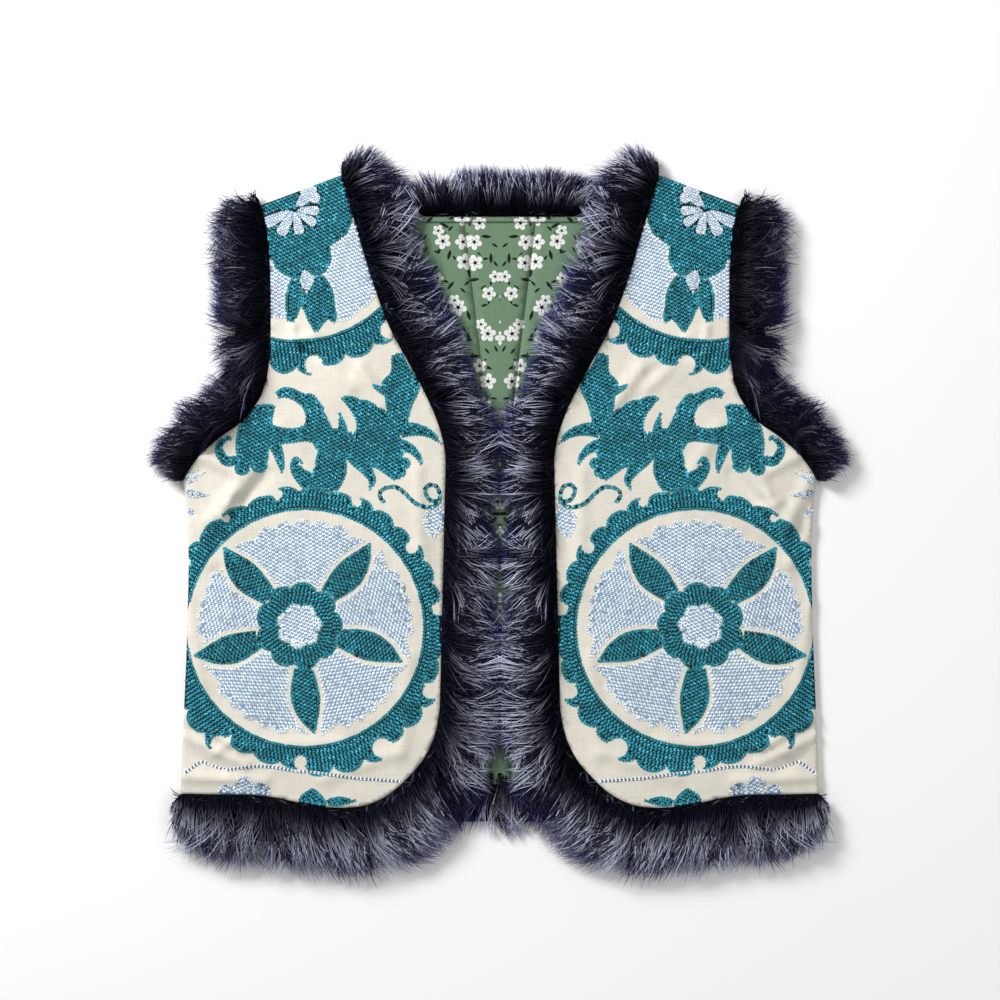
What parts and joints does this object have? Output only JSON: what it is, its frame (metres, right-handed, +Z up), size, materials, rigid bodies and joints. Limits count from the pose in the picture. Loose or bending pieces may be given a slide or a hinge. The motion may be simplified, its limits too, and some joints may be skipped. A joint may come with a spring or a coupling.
{
  "type": "waistcoat",
  "caption": "Sleeveless open-front waistcoat in embroidered cotton with a printed lining and deep fur trim round fronts, neck, armholes and hem, laid flat face up",
  "frame": {"origin": "On the surface the garment lies on, under the middle of its overall length and width", "axes": "+Z up off the surface, +Y from the hem to the neck, +X to the wearer's left; the fronts face up"},
  "size_m": [0.5512, 0.5851, 0.0209],
  "materials": {
    "embroidered_cotton": "matt woven cotton with chain-stitch embroidery",
    "printed_lining": "matt printed cotton",
    "fur_trim": "long soft fur, dark at the root and pale at the tip"
  },
  "bodies": {
    "root": {"back": "embroidered_cotton", "front_left": "embroidered_cotton", "front_right": "embroidered_cotton", "lining_centre": "printed_lining", "lining_left": "printed_lining", "lining_right": "printed_lining", "neck_facing": "printed_lining", "fur_back_neck": "fur_trim", "fur_back_hem": "fur_trim", "fur_front_edge_left": "fur_trim", "fur_front_edge_right": "fur_trim", "fur_front_hem_left": "fur_trim", "fur_front_hem_right": "fur_trim", "fur_armhole_front_left": "fur_trim", "fur_armhole_front_right": "fur_trim", "fur_armhole_back_left": "fur_trim", "fur_armhole_back_right": "fur_trim"}
  },
  "joints": []
}
